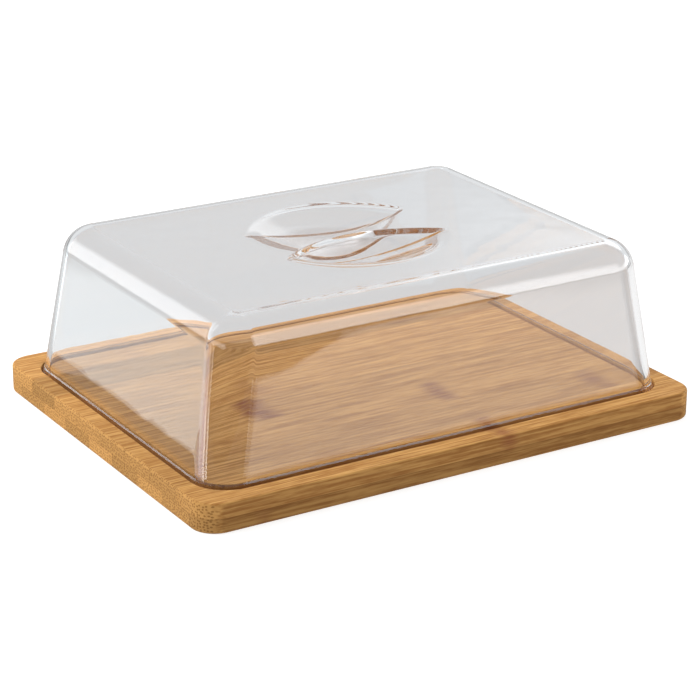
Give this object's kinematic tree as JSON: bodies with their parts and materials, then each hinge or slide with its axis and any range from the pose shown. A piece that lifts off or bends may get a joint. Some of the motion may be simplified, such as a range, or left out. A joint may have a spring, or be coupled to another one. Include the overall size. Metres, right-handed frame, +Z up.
{
  "type": "butter dish",
  "caption": "Rectangular bamboo board with a groove round its top, in which a clear lift-off lid stands. The lid's top has a round finger recess crossed by a waisted grip bar.",
  "frame": {"origin": "middle of the board's underside, on the surface the dish stands on", "axes": "+X along the board's grain and longest side, +Y from the front long side to the back one, +Z up"},
  "size_m": [0.19, 0.147, 0.0614],
  "materials": {
    "bamboo_top": "oiled bamboo, satin",
    "bamboo_bottom": "oiled bamboo, satin",
    "clear_plastic": "clear, polished"
  },
  "bodies": {
    "board": {"board_top_strip_1": "bamboo_top", "board_top_strip_2": "bamboo_top", "board_top_strip_3": "bamboo_top", "board_top_strip_4": "bamboo_top", "board_top_strip_5": "bamboo_top", "board_top_strip_6": "bamboo_top", "board_top_strip_7": "bamboo_top", "board_top_strip_8": "bamboo_top", "board_bottom_strip_1": "bamboo_bottom", "board_bottom_strip_2": "bamboo_bottom", "board_bottom_strip_3": "bamboo_bottom", "board_bottom_strip_4": "bamboo_bottom", "board_bottom_strip_5": "bamboo_bottom", "board_bottom_strip_6": "bamboo_bottom", "board_bottom_strip_7": "bamboo_bottom", "board_bottom_strip_8": "bamboo_bottom", "board_bottom_strip_9": "bamboo_bottom"},
    "lid": {"lid": "clear_plastic"}
  },
  "joints": [
    {"name": "lid_lift", "type": "slide", "parent": "board", "child": "lid", "axis": [0, 0, 1], "range_m": [0, 0.08]}
  ]
}
